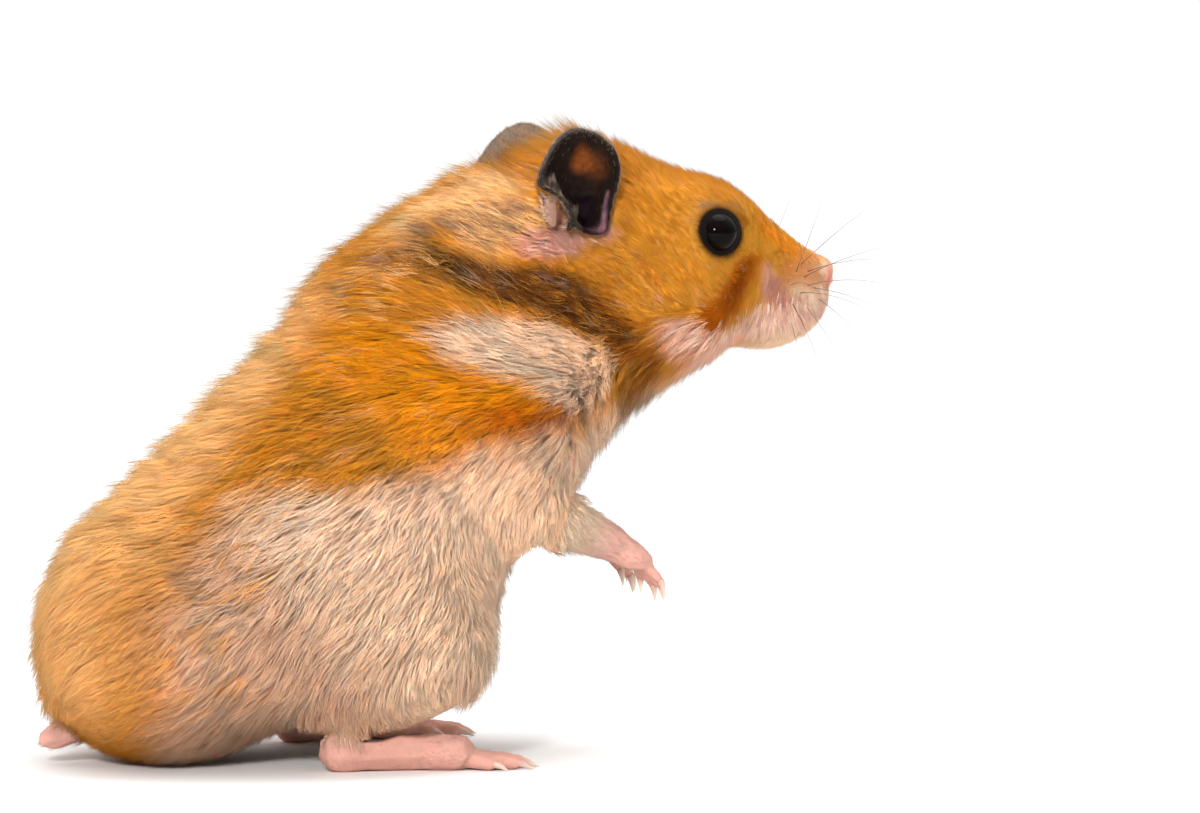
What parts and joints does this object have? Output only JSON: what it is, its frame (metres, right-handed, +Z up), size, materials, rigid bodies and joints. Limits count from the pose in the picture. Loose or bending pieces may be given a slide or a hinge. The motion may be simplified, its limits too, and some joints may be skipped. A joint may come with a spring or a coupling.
{
  "type": "syrian hamster",
  "caption": "Still life-size model of a golden hamster sitting up on its haunches, body raised at a slope, head level and forepaws hanging in front of the chest.",
  "frame": {"origin": "middle of the footprint of the bounding box, on the floor", "axes": "+X the way the body faces, +Y the animal's left, +Z up"},
  "size_m": [0.1176, 0.056, 0.0893],
  "materials": {
    "coat": "dense soft fur, golden with cream and dark brown markings",
    "ear_skin": "thin dark grey skin with fine down",
    "bare_skin": "soft pink skin, matt",
    "eye": "wet, glossy black",
    "claw": "smooth pale horn",
    "whisker": "smooth dark hair"
  },
  "bodies": {
    "root": {"head": "coat", "muzzle": "coat", "nose": "bare_skin", "eye_left": "eye", "eye_right": "eye", "ear_left": "ear_skin", "ear_right": "ear_skin", "neck": "coat", "chest": "coat", "trunk": "coat", "rump": "coat", "tail": "bare_skin", "upper_foreleg_left": "coat", "upper_foreleg_right": "coat", "forepaw_left": "bare_skin", "forepaw_right": "bare_skin", "thigh_left": "coat", "thigh_right": "coat", "hind_foot_left": "bare_skin", "hind_foot_right": "bare_skin"}
  },
  "joints": []
}
